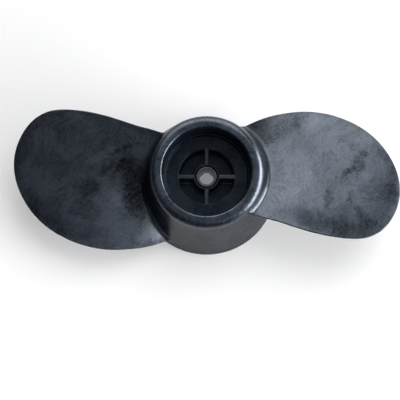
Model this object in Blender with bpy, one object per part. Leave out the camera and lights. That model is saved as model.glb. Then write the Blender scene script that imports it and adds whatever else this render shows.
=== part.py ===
"""Two-blade left-hand propeller of a small electric outboard motor.

The propeller lies on the wide, motor-side end of its hub. +Z runs along the
shaft towards the narrow, open end, where the nut goes, and +X runs along the
middle of the right blade. The origin is the centre of the wide end face.
"""
import math

import bmesh
import bpy
from mathutils import Vector

MM = 0.001

# Fits between the portions of the moulding
SEAT_GAP = 0.3 * MM
ROUND_STEPS = 64
SMALL_ROUND_STEPS = 40
SMOOTH_ANGLE = math.radians(35)

# Outside of the hub
BAND_RADIUS = 42.0 * MM
BAND_HEIGHT = 3.7 * MM
BAND_CHAMFER = 0.7 * MM
BAND_STEP = 0.2 * MM
CONE_BASE_RADIUS = 41.35 * MM
CONE_SLOPE = 0.203
CONE_TOP = 43.0 * MM
CONE_WALL = 3.4 * MM

# Rounded lip around the open end
RIM_TOP = 49.8 * MM
RIM_ROUNDING = 4.5 * MM
RIM_INNER_RADIUS = 25.5 * MM
RIM_INNER_CHAMFER = 0.6 * MM
RIM_ARC_STEPS = 6

# Cup that the nut sits in
CUP_WALL_OUTER_RADIUS = 27.9 * MM
CUP_WALL_FOOT_RADIUS = 25.1 * MM
STEP_TOP = 34.3 * MM
STEP_RADIUS = 24.5 * MM
STEP_FOOT_RADIUS = 24.1 * MM
FLOOR_TOP = 31.9 * MM
FLOOR_THICKNESS = 3.0 * MM
POCKET_RADIUS = 16.15 * MM

# Pockets between the spokes, closed at the motor side
POCKET_WALL = 2.4 * MM
POCKET_FOOT_RADIUS = 15.5 * MM
WEB_TOP = 21.0 * MM
WEB_BOTTOM = 16.5 * MM

# Shaft boss, its sleeve and the slot for the drive pin
BOSS_RADIUS = 7.6 * MM
BOSS_INNER_RADIUS = 6.5 * MM
BOSS_FOOT_RADIUS = 9.2 * MM
BOSS_FOOT_HEIGHT = 0.7 * MM
BOSS_FOOT_FILLET = 1.5 * MM
SLEEVE_RADIUS = 5.9 * MM
SLEEVE_CHAMFER = 0.4 * MM
BORE_RADIUS = 4.4 * MM
PIN_SLOT_WIDTH = 3.4 * MM
PIN_SLOT_DEPTH = 3.2 * MM
PIN_SLOT_LENGTH = 26.0 * MM

# Spokes and stiffening ribs, which stand turned a little from the blades' middle line
SPOKE_TURN = math.radians(-5.2)
SPOKE_COUNT = 4
SPOKE_WIDTH = 2.6 * MM
RIB_COUNT = 8
RIB_WIDTH = 2.6 * MM
RIB_BOTTOM = 8.0 * MM

# Blades: a left-hand screw surface, with a slight curve along the span
PITCH = 125.7 * MM
RAKE_TOP = 31.87 * MM
RAKE_RADIUS = 91.0 * MM
RAKE_DROP = 7.18 * MM
RAKE_DROP_SPAN = 57.5 * MM
LEAN_DROP = 1.455 * MM
LEAN_RADIUS = 80.0 * MM
LEAN_SPAN = 45.0 * MM
TIP_RADIUS = 112.4 * MM
TIP_ANGLE = -10.19
EDGE_ALLOWANCE = 0.12 * MM
ROOT_RADIUS = 36.6 * MM
ROOT_SPREAD = 30.0 * MM
ROOT_FILLET = 2.6 * MM
ROOT_THICKNESS = 6.4 * MM
TIP_THICKNESS = 2.0 * MM
ROOT_EDGE_THICKNESS = 2.4 * MM
TIP_EDGE_THICKNESS = 1.5 * MM
EDGE_BAND = 9.0 * MM
FILLET_STEPS = 4
SPAN_STEPS = 18
CHORD_STEPS = 16
OUTLINE_SAMPLES = 240

# Radius in millimetres, then the angle of the leading and trailing edge in degrees
BLADE_PLAN = (
    (30.0, -50.56, 63.26),
    (42.0, -43.76, 50.92),
    (50.0, -39.93, 44.03),
    (60.0, -37.02, 37.24),
    (70.0, -34.70, 31.04),
    (80.0, -32.41, 24.58),
    (90.0, -29.95, 17.59),
    (98.0, -27.40, 11.43),
    (104.0, -24.09, 5.68),
    (108.0, -20.46, 0.77),
    (111.0, -15.71, -4.33),
)


def clear_scene():
    """Remove every object that the scene holds."""
    for item in list(bpy.data.objects):
        bpy.data.objects.remove(item, do_unlink=True)


def moulded_plastic(name, colour, roughness):
    """Return a Principled material for one shade of the moulded plastic."""
    material = bpy.data.materials.new(name)
    material.use_nodes = True
    shader = material.node_tree.nodes["Principled BSDF"]
    shader.inputs["Base Color"].default_value = (*colour, 1.0)
    shader.inputs["Roughness"].default_value = roughness
    shader.inputs["Metallic"].default_value = 0.0
    material.diffuse_color = (*colour, 1.0)
    return material


def add_part(name, bm, material):
    """Turn a bmesh into a named object with smooth shading and one material."""
    bmesh.ops.recalc_face_normals(bm, faces=bm.faces)
    mesh = bpy.data.meshes.new(name)
    bm.to_mesh(mesh)
    bm.free()
    mesh.shade_smooth()
    mesh.set_sharp_from_angle(angle=SMOOTH_ANGLE)
    mesh.materials.append(material)
    part = bpy.data.objects.new(name, mesh)
    bpy.context.scene.collection.objects.link(part)
    return part


def turned_ring(name, profile, steps, material):
    """Spin a closed (radius, height) profile round the shaft axis."""
    bm = bmesh.new()
    verts = [bm.verts.new((radius, 0.0, height)) for radius, height in profile]
    edges = [bm.edges.new((verts[i - 1], verts[i])) for i in range(len(verts))]
    bmesh.ops.spin(
        bm,
        geom=verts + edges,
        cent=(0.0, 0.0, 0.0),
        axis=(0.0, 0.0, 1.0),
        angle=math.tau,
        steps=steps,
        use_merge=True,
    )
    return add_part(name, bm, material)


def upright_plate(name, profile, width, angle, material):
    """Extrude a (radius, height) profile to a plate that stands radially."""
    bm = bmesh.new()
    verts = [bm.verts.new((radius, -width / 2, height)) for radius, height in profile]
    face = bm.faces.new(verts)
    grown = bmesh.ops.extrude_face_region(bm, geom=[face])
    moved = [item for item in grown["geom"] if isinstance(item, bmesh.types.BMVert)]
    bmesh.ops.translate(bm, verts=moved, vec=(0.0, width, 0.0))
    plate = add_part(name, bm, material)
    plate.rotation_euler.z = angle
    return plate


def cone_radius(height):
    """Return the outer radius of the hub's cone at a height."""
    return CONE_BASE_RADIUS - CONE_SLOPE * (height - BAND_HEIGHT)


def rim_rounding():
    """Return the arc that leads from the cone's side over to the flat top of the rim."""
    taper = math.atan(CONE_SLOPE)
    reach = RIM_ROUNDING * math.tan((math.pi / 2 - taper) / 2)
    centre_radius = cone_radius(RIM_TOP) - reach
    centre_height = RIM_TOP - RIM_ROUNDING
    points = []
    for step in range(RIM_ARC_STEPS + 1):
        turn = taper + (math.pi / 2 - taper) * step / RIM_ARC_STEPS
        radius = centre_radius + RIM_ROUNDING * math.cos(turn)
        points.append((radius, centre_height + RIM_ROUNDING * math.sin(turn)))
    return points


def hub_end_band(material):
    """Ring that stands on the motor housing, slightly proud of the cone."""
    inner = BAND_RADIUS - CONE_WALL
    profile = (
        (inner, 0.0),
        (BAND_RADIUS - BAND_CHAMFER, 0.0),
        (BAND_RADIUS, BAND_CHAMFER),
        (CONE_BASE_RADIUS + BAND_STEP, BAND_HEIGHT - BAND_STEP),
        (CONE_BASE_RADIUS, BAND_HEIGHT),
        (cone_radius(BAND_HEIGHT) - CONE_WALL, BAND_HEIGHT),
    )
    return turned_ring("hub_end_band", profile, ROUND_STEPS, material)


def hub_cone(material):
    """Tapered outer shell of the hub, which carries the blades."""
    profile = (
        (CONE_BASE_RADIUS - CONE_WALL, BAND_HEIGHT),
        (CONE_BASE_RADIUS, BAND_HEIGHT),
        (cone_radius(CONE_TOP), CONE_TOP),
        (cone_radius(CONE_TOP) - CONE_WALL, CONE_TOP),
    )
    return turned_ring("hub_cone", profile, ROUND_STEPS, material)


def hub_rim(material):
    """Rounded lip that joins the cone to the wall of the cup."""
    profile = [
        (cup_wall_radius(CONE_TOP), CONE_TOP),
        (cone_radius(CONE_TOP), CONE_TOP),
    ]
    profile += rim_rounding()
    profile += [
        (RIM_INNER_RADIUS + RIM_INNER_CHAMFER, RIM_TOP),
        (RIM_INNER_RADIUS, RIM_TOP - RIM_INNER_CHAMFER),
    ]
    return turned_ring("hub_rim", profile, ROUND_STEPS, material)


def cup_wall_radius(height):
    """Return the inner radius of the cup's drafted wall at a height."""
    share = (height - STEP_TOP) / (RIM_TOP - STEP_TOP)
    return CUP_WALL_FOOT_RADIUS + (RIM_INNER_RADIUS - CUP_WALL_FOOT_RADIUS) * share


def cup_wall(material):
    """Inner wall of the cup, from its step up to the rim."""
    profile = (
        (CUP_WALL_FOOT_RADIUS, STEP_TOP),
        (CUP_WALL_OUTER_RADIUS, STEP_TOP),
        (CUP_WALL_OUTER_RADIUS, CONE_TOP),
        (cup_wall_radius(CONE_TOP), CONE_TOP),
    )
    return turned_ring("cup_wall", profile, ROUND_STEPS, material)


def cup_step(material):
    """Narrow step at the foot of the cup's wall."""
    profile = (
        (STEP_FOOT_RADIUS, FLOOR_TOP),
        (CUP_WALL_OUTER_RADIUS, FLOOR_TOP),
        (CUP_WALL_OUTER_RADIUS, STEP_TOP),
        (STEP_RADIUS, STEP_TOP),
    )
    return turned_ring("cup_step", profile, ROUND_STEPS, material)


def cup_floor(material):
    """Flat ring at the bottom of the cup, open over the pockets."""
    underside = FLOOR_TOP - FLOOR_THICKNESS
    profile = (
        (POCKET_RADIUS, underside),
        (CUP_WALL_OUTER_RADIUS, underside),
        (CUP_WALL_OUTER_RADIUS, FLOOR_TOP),
        (POCKET_RADIUS, FLOOR_TOP),
    )
    return turned_ring("cup_floor", profile, ROUND_STEPS, material)


def pocket_wall(material):
    """Round wall below the floor ring, around the pockets."""
    top = FLOOR_TOP - FLOOR_THICKNESS
    profile = (
        (POCKET_FOOT_RADIUS, WEB_TOP),
        (POCKET_RADIUS + POCKET_WALL, WEB_TOP),
        (POCKET_RADIUS + POCKET_WALL, top),
        (POCKET_RADIUS, top),
    )
    return turned_ring("pocket_wall", profile, ROUND_STEPS, material)


def pin_slot_cutter():
    """Box that cuts the slot for the drive pin, open to the motor side."""
    bm = bmesh.new()
    bmesh.ops.create_cube(bm, size=1.0)
    height = 2 * PIN_SLOT_DEPTH
    bmesh.ops.scale(bm, verts=bm.verts, vec=(PIN_SLOT_WIDTH, PIN_SLOT_LENGTH, height))
    mesh = bpy.data.meshes.new("pin_slot_cutter")
    bm.to_mesh(mesh)
    bm.free()
    cutter = bpy.data.objects.new("pin_slot_cutter", mesh)
    cutter.location.z = WEB_BOTTOM
    cutter.rotation_euler.z = SPOKE_TURN
    cutter.hide_render = True
    cutter.display_type = "WIRE"
    bpy.context.scene.collection.objects.link(cutter)
    return cutter


def cut(part, cutter):
    """Cut one body from another with an exact Boolean."""
    modifier = part.modifiers.new("slot", "BOOLEAN")
    modifier.operation = "DIFFERENCE"
    modifier.solver = "EXACT"
    modifier.object = cutter


def pocket_floor(cutter, material):
    """Web across the hub that closes the pockets and drives the boss."""
    hole = SLEEVE_RADIUS + SEAT_GAP
    rim = POCKET_RADIUS + POCKET_WALL
    profile = ((hole, WEB_BOTTOM), (rim, WEB_BOTTOM), (rim, WEB_TOP), (hole, WEB_TOP))
    web = turned_ring("pocket_floor", profile, SMALL_ROUND_STEPS, material)
    cut(web, cutter)
    return web


def shaft_boss(material):
    """Thin round boss with a flared foot, a groove's width off the sleeve."""
    foot_top = WEB_TOP + BOSS_FOOT_HEIGHT
    profile = (
        (BOSS_INNER_RADIUS, WEB_TOP),
        (BOSS_FOOT_RADIUS, WEB_TOP),
        (BOSS_FOOT_RADIUS, foot_top),
        (BOSS_RADIUS, foot_top + BOSS_FOOT_FILLET),
        (BOSS_RADIUS, FLOOR_TOP),
        (BOSS_INNER_RADIUS, FLOOR_TOP),
    )
    return turned_ring("shaft_boss", profile, SMALL_ROUND_STEPS, material)


def shaft_sleeve(cutter, material):
    """Sleeve that the motor shaft runs through, notched by the pin's slot."""
    profile = (
        (BORE_RADIUS, WEB_BOTTOM),
        (SLEEVE_RADIUS, WEB_BOTTOM),
        (SLEEVE_RADIUS, FLOOR_TOP - SLEEVE_CHAMFER),
        (SLEEVE_RADIUS - SLEEVE_CHAMFER, FLOOR_TOP),
        (BORE_RADIUS + SLEEVE_CHAMFER, FLOOR_TOP),
        (BORE_RADIUS, FLOOR_TOP - SLEEVE_CHAMFER),
    )
    sleeve = turned_ring("shaft_sleeve", profile, SMALL_ROUND_STEPS, material)
    cut(sleeve, cutter)
    return sleeve


def spokes(material):
    """Flat spokes between the boss and the floor ring, level with the floor."""
    foot = BOSS_FOOT_RADIUS + SEAT_GAP
    foot_top = WEB_TOP + BOSS_FOOT_HEIGHT
    profile = (
        (foot, WEB_TOP),
        (POCKET_FOOT_RADIUS - SEAT_GAP, WEB_TOP),
        (POCKET_RADIUS - SEAT_GAP, FLOOR_TOP - FLOOR_THICKNESS),
        (POCKET_RADIUS - SEAT_GAP, FLOOR_TOP),
        (BOSS_RADIUS + SEAT_GAP, FLOOR_TOP),
        (BOSS_RADIUS + SEAT_GAP, foot_top + BOSS_FOOT_FILLET + SEAT_GAP),
        (foot, foot_top + SEAT_GAP),
    )
    for index in range(SPOKE_COUNT):
        angle = SPOKE_TURN + index * math.tau / SPOKE_COUNT
        upright_plate(f"spoke_{index + 1}", profile, SPOKE_WIDTH, angle, material)


def stiffening_ribs(material):
    """Radial ribs on the motor side, under the floor ring and inside the cone."""
    inner = POCKET_RADIUS + POCKET_WALL + SEAT_GAP
    top = FLOOR_TOP - FLOOR_THICKNESS
    outer_top = cone_radius(top) - CONE_WALL - 2 * SEAT_GAP
    outer_bottom = cone_radius(RIB_BOTTOM) - CONE_WALL - 2 * SEAT_GAP
    profile = (
        (inner, WEB_BOTTOM),
        (outer_bottom - RIB_WIDTH, RIB_BOTTOM),
        (outer_bottom, RIB_BOTTOM),
        (outer_top, top),
        (inner, top),
    )
    for index in range(RIB_COUNT):
        angle = SPOKE_TURN + (index + 0.5) * math.tau / RIB_COUNT
        upright_plate(f"stiffening_rib_{index + 1}", profile, RIB_WIDTH, angle, material)


def tip_closeness(radius):
    """Return 0 at the tip, growing so that the rounded tip plots as a smooth curve."""
    return math.sqrt(max(0.0, 1.0 - radius / TIP_RADIUS))


def blade_edge_angle(radius, column):
    """Return the leading (1) or trailing (2) edge's angle by smooth interpolation."""
    rows = [(tip_closeness(row[0] * MM), row[column]) for row in BLADE_PLAN]
    rows.append((0.0, TIP_ANGLE))
    rows.append((-rows[-2][0], BLADE_PLAN[-1][3 - column]))
    here = tip_closeness(radius)
    index = 0
    while index < len(rows) - 3 and rows[index + 1][0] > here:
        index += 1
    before = rows[max(index - 1, 0)]
    start, end, after = rows[index], rows[index + 1], rows[index + 2]
    span = end[0] - start[0]
    share = (here - start[0]) / span
    slope_start = (end[1] - before[1]) / (end[0] - before[0]) * span
    slope_end = (after[1] - start[1]) / (after[0] - start[0]) * span
    angle = (
        (2 * share**3 - 3 * share**2 + 1) * start[1]
        + (share**3 - 2 * share**2 + share) * slope_start
        + (3 * share**2 - 2 * share**3) * end[1]
        + (share**3 - share**2) * slope_end
    )
    return math.radians(angle)


def blade_height(radius, angle):
    """Return the height of the blade's middle surface."""
    drop = RAKE_DROP * ((radius - RAKE_RADIUS) / RAKE_DROP_SPAN) ** 2
    lean = LEAN_DROP * (radius - LEAN_RADIUS) / LEAN_SPAN
    return RAKE_TOP - drop - lean - PITCH * angle / math.tau


def settled_radius(offset, angle):
    """Return the radius of a blade point at an offset from the hub's surface.

    Close to the hub the point keeps its distance to the cone, and further
    out it lies on a plain arc round the shaft axis.
    """
    arc_radius = ROOT_RADIUS + offset
    share = min(offset / ROOT_SPREAD, 1.0)
    blend = share * share * (3 - 2 * share)
    radius = arc_radius
    for _ in range(6):
        near_cone = cone_radius(blade_height(radius, angle)) + SEAT_GAP + offset
        radius = near_cone + (arc_radius - near_cone) * blend
    return radius


def edge_point(offset, column):
    """Return the radius and angle of an edge's point at an offset from the hub."""
    radius = ROOT_RADIUS + offset
    angle = 0.0
    for _ in range(6):
        angle = blade_edge_angle(radius, column)
        radius = settled_radius(offset, angle)
    return radius, angle


def fillet_growth(offset):
    """Return how far the root fillet stands out at an offset from the hub."""
    if offset >= ROOT_FILLET:
        return 0.0
    return ROOT_FILLET - math.sqrt(ROOT_FILLET**2 - (ROOT_FILLET - offset) ** 2)


def span_offsets():
    """Return the offsets of the blade's sections, close together at root and tip."""
    offsets = []
    for step in range(FILLET_STEPS):
        offsets.append(ROOT_FILLET * (1 - math.cos(math.pi / 2 * step / FILLET_STEPS)))
    start = tip_closeness(ROOT_RADIUS + ROOT_FILLET)
    for step in range(SPAN_STEPS + 1):
        closeness = start * (1 - step / SPAN_STEPS)
        offsets.append(TIP_RADIUS * (1 - closeness**2) - ROOT_RADIUS)
    return offsets


def blade_point(offset, chord_share):
    """Return the radius and angle of a point of the blade seen along the shaft."""
    growth = fillet_growth(offset)
    lead_radius, lead = edge_point(offset, 1)
    trail_radius, trail = edge_point(offset, 2)
    lead -= (growth + EDGE_ALLOWANCE) / lead_radius
    trail += (growth + EDGE_ALLOWANCE) / trail_radius
    angle = lead + (trail - lead) * chord_share
    return settled_radius(offset, angle), angle


def blade_outline():
    """Return points along the blade's outline, from root to root round the tip."""
    points = []
    for column in (1, 2):
        for sample in range(OUTLINE_SAMPLES + 1):
            closeness = tip_closeness(ROOT_RADIUS) * sample / OUTLINE_SAMPLES
            offset = TIP_RADIUS * (1 - closeness**2) - ROOT_RADIUS
            radius, angle = blade_point(max(offset, 0.0), column - 1)
            points.append(Vector((radius * math.cos(angle), radius * math.sin(angle))))
    return points


def half_thickness(offset, chord_share, edge_distance):
    """Return half of the blade's thickness: a rounded edge and a fuller middle."""
    share = min(offset / (TIP_RADIUS - ROOT_RADIUS), 1.0)
    edge = (ROOT_EDGE_THICKNESS + (TIP_EDGE_THICKNESS - ROOT_EDGE_THICKNESS) * share) / 2
    middle = (ROOT_THICKNESS + (TIP_THICKNESS - ROOT_THICKNESS) * share) / 2
    edge += fillet_growth(offset)
    middle += fillet_growth(offset)
    reach = min(edge_distance / edge, 1.0)
    rounding = math.sqrt(1 - (1 - reach) ** 2)
    band = 1 - (1 - min(edge_distance / EDGE_BAND, 1.0)) ** 2
    fullness = band * (1 - abs(2 * chord_share - 1) ** 3)
    return edge * rounding + (middle - edge) * fullness


def surface_normal(radius, angle):
    """Return the upward normal of the blade's middle surface."""
    slope_out = -2 * RAKE_DROP * (radius - RAKE_RADIUS) / RAKE_DROP_SPAN**2 - LEAN_DROP / LEAN_SPAN
    slope_round = -PITCH / math.tau / radius
    outward = Vector((math.cos(angle), math.sin(angle), 0.0))
    sideways = Vector((-math.sin(angle), math.cos(angle), 0.0))
    normal = Vector((0.0, 0.0, 1.0)) - outward * slope_out - sideways * slope_round
    return normal.normalized()


def blade_sheet(bm, side, outline, offsets):
    """Add one face of the blade, a grid bent to the screw surface and offset.

    Return the row of vertices at the root, from the leading to the trailing edge.
    """
    last_row = len(offsets) - 1
    sheet = bmesh.ops.create_grid(bm, x_segments=CHORD_STEPS, y_segments=last_row, size=0.5)
    verts = sorted(sheet["verts"], key=lambda vert: (round(vert.co.y, 5), vert.co.x))
    for vert in verts:
        row = round((vert.co.y + 0.5) * last_row)
        chord_share = (1 - math.cos(math.pi * (vert.co.x + 0.5))) / 2
        offset = offsets[row]
        radius, angle = blade_point(offset, chord_share)
        plan = Vector((radius * math.cos(angle), radius * math.sin(angle)))
        on_edge = row == last_row or not 0.0 < round(vert.co.x + 0.5, 6) < 1.0
        distance = 0.0 if on_edge else min((plan - point).length for point in outline)
        rise = side * half_thickness(offset, chord_share, distance)
        middle = Vector((plan.x, plan.y, blade_height(radius, angle)))
        lifted = middle + surface_normal(radius, angle) * rise
        held = cone_radius(lifted.z) + SEAT_GAP + offset
        if offset < ROOT_FILLET:
            flat_length = math.hypot(lifted.x, lifted.y)
            lifted.x *= held / flat_length
            lifted.y *= held / flat_length
        vert.co = lifted
    return verts[: CHORD_STEPS + 1]


def blade(name, turn, material):
    """Blade with a rounded edge, thicker at its filleted root."""
    bm = bmesh.new()
    outline = blade_outline()
    offsets = span_offsets()
    upper = blade_sheet(bm, 1, outline, offsets)
    lower = blade_sheet(bm, -1, outline, offsets)
    for step in range(CHORD_STEPS):
        bm.faces.new((upper[step], upper[step + 1], lower[step + 1], lower[step]))
    bmesh.ops.remove_doubles(bm, verts=bm.verts, dist=0.00001)
    part = add_part(name, bm, material)
    part.rotation_euler.z = turn
    return part


def build():
    """Build the propeller, one named object for each portion."""
    clear_scene()
    satin = moulded_plastic("satin_plastic", (0.052, 0.056, 0.066), 0.42)
    inside = moulded_plastic("inner_plastic", (0.030, 0.032, 0.038), 0.5)
    bush = moulded_plastic("sleeve_plastic", (0.070, 0.072, 0.080), 0.35)
    cutter = pin_slot_cutter()
    hub_end_band(satin)
    hub_cone(satin)
    hub_rim(satin)
    cup_wall(inside)
    cup_step(inside)
    cup_floor(inside)
    pocket_wall(inside)
    pocket_floor(cutter, inside)
    shaft_boss(inside)
    shaft_sleeve(cutter, bush)
    spokes(inside)
    stiffening_ribs(inside)
    blade("blade_right", 0.0, satin)
    blade("blade_left", math.pi, satin)


build()
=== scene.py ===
"""Looks of a two-blade propeller for a small electric outboard motor.

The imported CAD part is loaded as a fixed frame, and finer moulded forms are built over its
nodes. The propeller rests on the wide end of its hub: +Z runs along the shaft to the open,
narrow end, and +X runs along the middle of the right blade.
"""

import logging
import math
from collections.abc import Callable, Sequence
from dataclasses import dataclass
from enum import Enum

import bmesh
import bpy
import numpy as np
from mathutils import Matrix, Vector


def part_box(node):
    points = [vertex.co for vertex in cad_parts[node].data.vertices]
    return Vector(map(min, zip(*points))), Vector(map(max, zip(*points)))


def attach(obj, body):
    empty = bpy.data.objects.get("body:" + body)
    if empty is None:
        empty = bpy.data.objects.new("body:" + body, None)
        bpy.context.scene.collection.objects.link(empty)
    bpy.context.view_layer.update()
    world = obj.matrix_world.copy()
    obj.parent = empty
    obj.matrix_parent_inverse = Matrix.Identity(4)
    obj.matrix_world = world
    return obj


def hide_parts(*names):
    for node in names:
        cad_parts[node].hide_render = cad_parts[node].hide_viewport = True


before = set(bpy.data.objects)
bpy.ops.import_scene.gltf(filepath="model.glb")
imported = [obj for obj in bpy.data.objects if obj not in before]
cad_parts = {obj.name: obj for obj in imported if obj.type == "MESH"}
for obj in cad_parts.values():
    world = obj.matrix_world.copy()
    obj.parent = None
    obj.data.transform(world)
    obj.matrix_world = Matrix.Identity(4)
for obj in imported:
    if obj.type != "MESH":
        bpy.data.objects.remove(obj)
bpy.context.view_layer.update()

MM = 0.001
ROUND_STEPS = 192
SMALL_ROUND_STEPS = 128
ARC_STEP = math.radians(11)
SHARP_ANGLE = math.radians(40)
MERGE_DISTANCE = 0.000002
SEAT_GAP = 0.03
SETTLE_ROUNDS = 6
SPOKES = 4
RIBS = 8
IMAGE_SIDE = 400
SENSOR_WIDTH = 36.0

Socket = bpy.types.NodeSocket
Colour = tuple[float, float, float, float]

log = logging.getLogger("propeller")


# Shared helpers


def box_mm(node: str) -> tuple[Vector, Vector]:
    """Return a CAD node's lowest and highest corners in millimetres."""
    low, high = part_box(node)
    return low / MM, high / MM


def into_scene(name: str, bm: bmesh.types.BMesh) -> bpy.types.Object:
    """Put a mesh into the scene as a new object.

    Args:
        name: Name of the object.
        bm: Its mesh, which is used up.

    Returns:
        The new object, at the origin.
    """
    mesh = bpy.data.meshes.new(name)
    bm.to_mesh(mesh)
    bm.free()
    made = bpy.data.objects.new(name, mesh)
    bpy.context.scene.collection.objects.link(made)
    return made


def smooth(mesh: bpy.types.Mesh) -> None:
    """Shade a mesh smoothly, with creases where its faces turn steeply."""
    mesh.shade_smooth()
    mesh.set_sharp_from_angle(angle=SHARP_ANGLE)


def extrude(bm: bmesh.types.BMesh, way: tuple[float, float, float]) -> None:
    """Draw a flat face out to a closed solid.

    Args:
        bm: The mesh with its one face.
        way: Where the face's copy moves, in metres.
    """
    grown = bmesh.ops.extrude_face_region(bm, geom=bm.faces[:])
    moved = [item for item in grown["geom"] if isinstance(item, bmesh.types.BMVert)]
    bmesh.ops.translate(bm, verts=moved, vec=way)


def turn_about_shaft(bm: bmesh.types.BMesh, angle: float) -> None:
    """Turn a mesh about the shaft axis by an angle in radians."""
    spin = Matrix.Rotation(angle, 3, "Z")
    bmesh.ops.rotate(bm, verts=bm.verts, cent=(0.0, 0.0, 0.0), matrix=spin)


class Slot(Enum):
    """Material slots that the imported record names."""

    OUTSIDE = "satin_moulding"
    INSIDE = "inner_moulding"
    SLEEVE = "sleeve"


class Side(Enum):
    """The two faces of a blade, by the sign of their distance from the middle surface."""

    UPPER = 1.0
    LOWER = -1.0


class Edge(Enum):
    """The two long edges of a blade, by their column in the blade's plan."""

    LEADING = 1
    TRAILING = 2


@dataclass(frozen=True)
class Corner:
    """One corner of a turned outline, in millimetres, with the radius that rounds it."""

    radius: float
    height: float
    rounding: float = 0.0


@dataclass(frozen=True)
class Outline:
    """An outline of rounded corners, closed from the last to the first."""

    corners: Sequence[Corner]

    def setback(self, index: int) -> tuple[float, int]:
        """Work out how far a corner's rounding reaches along its two sides.

        Args:
            index: Place of the corner in the outline.

        Returns:
            The distance in metres and the number of segments that the arc needs.
        """
        here = self.corners[index]
        before = self.corners[index - 1]
        after = self.corners[(index + 1) % len(self.corners)]
        arriving = Vector((here.radius - before.radius, here.height - before.height))
        leaving = Vector((after.radius - here.radius, after.height - here.height))
        turn = arriving.angle(leaving)
        reach = here.rounding * math.tan(turn / 2) * MM
        return reach, max(2, math.ceil(turn / ARC_STEP))

    def wire(self, place: Callable[[Corner], tuple[float, float, float]]) -> bmesh.types.BMesh:
        """Draw the closed outline and round its corners.

        Args:
            place: Gives a corner's point in metres.

        Returns:
            The outline, as edges alone.
        """
        bm = bmesh.new()
        verts = [bm.verts.new(place(corner)) for corner in self.corners]
        for index, vert in enumerate(verts):
            bm.edges.new((verts[index - 1], vert))
        for index, corner in enumerate(self.corners):
            if corner.rounding:
                reach, segments = self.setback(index)
                bmesh.ops.bevel(
                    bm, geom=[verts[index]], offset=reach, offset_type="OFFSET",
                    segments=segments, profile=0.5, affect="VERTICES", material=-1,
                )
        return bm


@dataclass(frozen=True)
class Turning(Outline):
    """An outline that is spun round the shaft axis in a number of steps."""

    steps: int

    def mesh(self) -> bmesh.types.BMesh:
        """Spin the rounded outline to a closed solid.

        Returns:
            The solid, with its faces pointing outwards.
        """
        bm = self.wire(lambda corner: (corner.radius * MM, 0.0, corner.height * MM))
        bmesh.ops.spin(
            bm, geom=[*bm.verts, *bm.edges], cent=(0.0, 0.0, 0.0), axis=(0.0, 0.0, 1.0),
            angle=math.tau, steps=self.steps, use_merge=True,
        )
        bmesh.ops.recalc_face_normals(bm, faces=bm.faces)
        return bm


@dataclass(frozen=True)
class Bar(Outline):
    """A cross-section drawn out along +X, from start to end in millimetres off the shaft.

    Its corners' radius is the distance along Y.
    """

    start: float
    end: float

    def mesh(self, turn: float) -> bmesh.types.BMesh:
        """Round the section, extrude it and turn it into place.

        Args:
            turn: Angle about the shaft axis in radians.

        Returns:
            The closed bar, with its faces pointing outwards.
        """
        bm = self.wire(lambda c: (self.start * MM, c.radius * MM, c.height * MM))
        bmesh.ops.contextual_create(bm, geom=[*bm.verts, *bm.edges])
        extrude(bm, ((self.end - self.start) * MM, 0.0, 0.0))
        turn_about_shaft(bm, turn)
        bmesh.ops.recalc_face_normals(bm, faces=bm.faces)
        return bm


class Workshop:
    """Turns meshes into finished pieces that ride on the propeller's body."""

    def piece(self, name: str, bm: bmesh.types.BMesh) -> bpy.types.Object:
        """Make a smooth, shown object of a mesh.

        Args:
            name: Name of the new piece.
            bm: Its mesh, which is used up.

        Returns:
            The new object, at the origin.
        """
        made = into_scene(name, bm)
        smooth(made.data)
        return made

    def cut(self, made: bpy.types.Object, bm: bmesh.types.BMesh) -> None:
        """Cut a solid out of a piece and keep only the resulting mesh.

        Args:
            made: The piece to cut.
            bm: The solid that is taken away, which is used up.
        """
        cutter = into_scene("cutter", bm)
        modifier = made.modifiers.new("cut", "BOOLEAN")
        modifier.operation = "DIFFERENCE"
        modifier.solver = "EXACT"
        modifier.object = cutter
        bpy.context.view_layer.update()
        shape = made.evaluated_get(bpy.context.evaluated_depsgraph_get())
        result = bpy.data.meshes.new_from_object(shape)
        made.modifiers.clear()
        made.data = result
        bpy.data.objects.remove(cutter, do_unlink=True)
        smooth(result)

    def fit(
        self, made: bpy.types.Object, material: bpy.types.Material, slot: Slot, nodes: Sequence[str]
    ) -> None:
        """Dress a piece, mount it on the body and let it stand for CAD nodes.

        Args:
            made: The piece.
            material: Its finish.
            slot: The record's material slot that the finish belongs to; not used.
            nodes: The CAD nodes that it replaces.
        """
        made.data.materials.clear()
        made.data.materials.append(material)
        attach(made, "root")
        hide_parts(*nodes)
        made.data.calc_loop_triangles()
        log.info("%s: %d triangles", made.name, len(made.data.loop_triangles))


# Finishes


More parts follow.
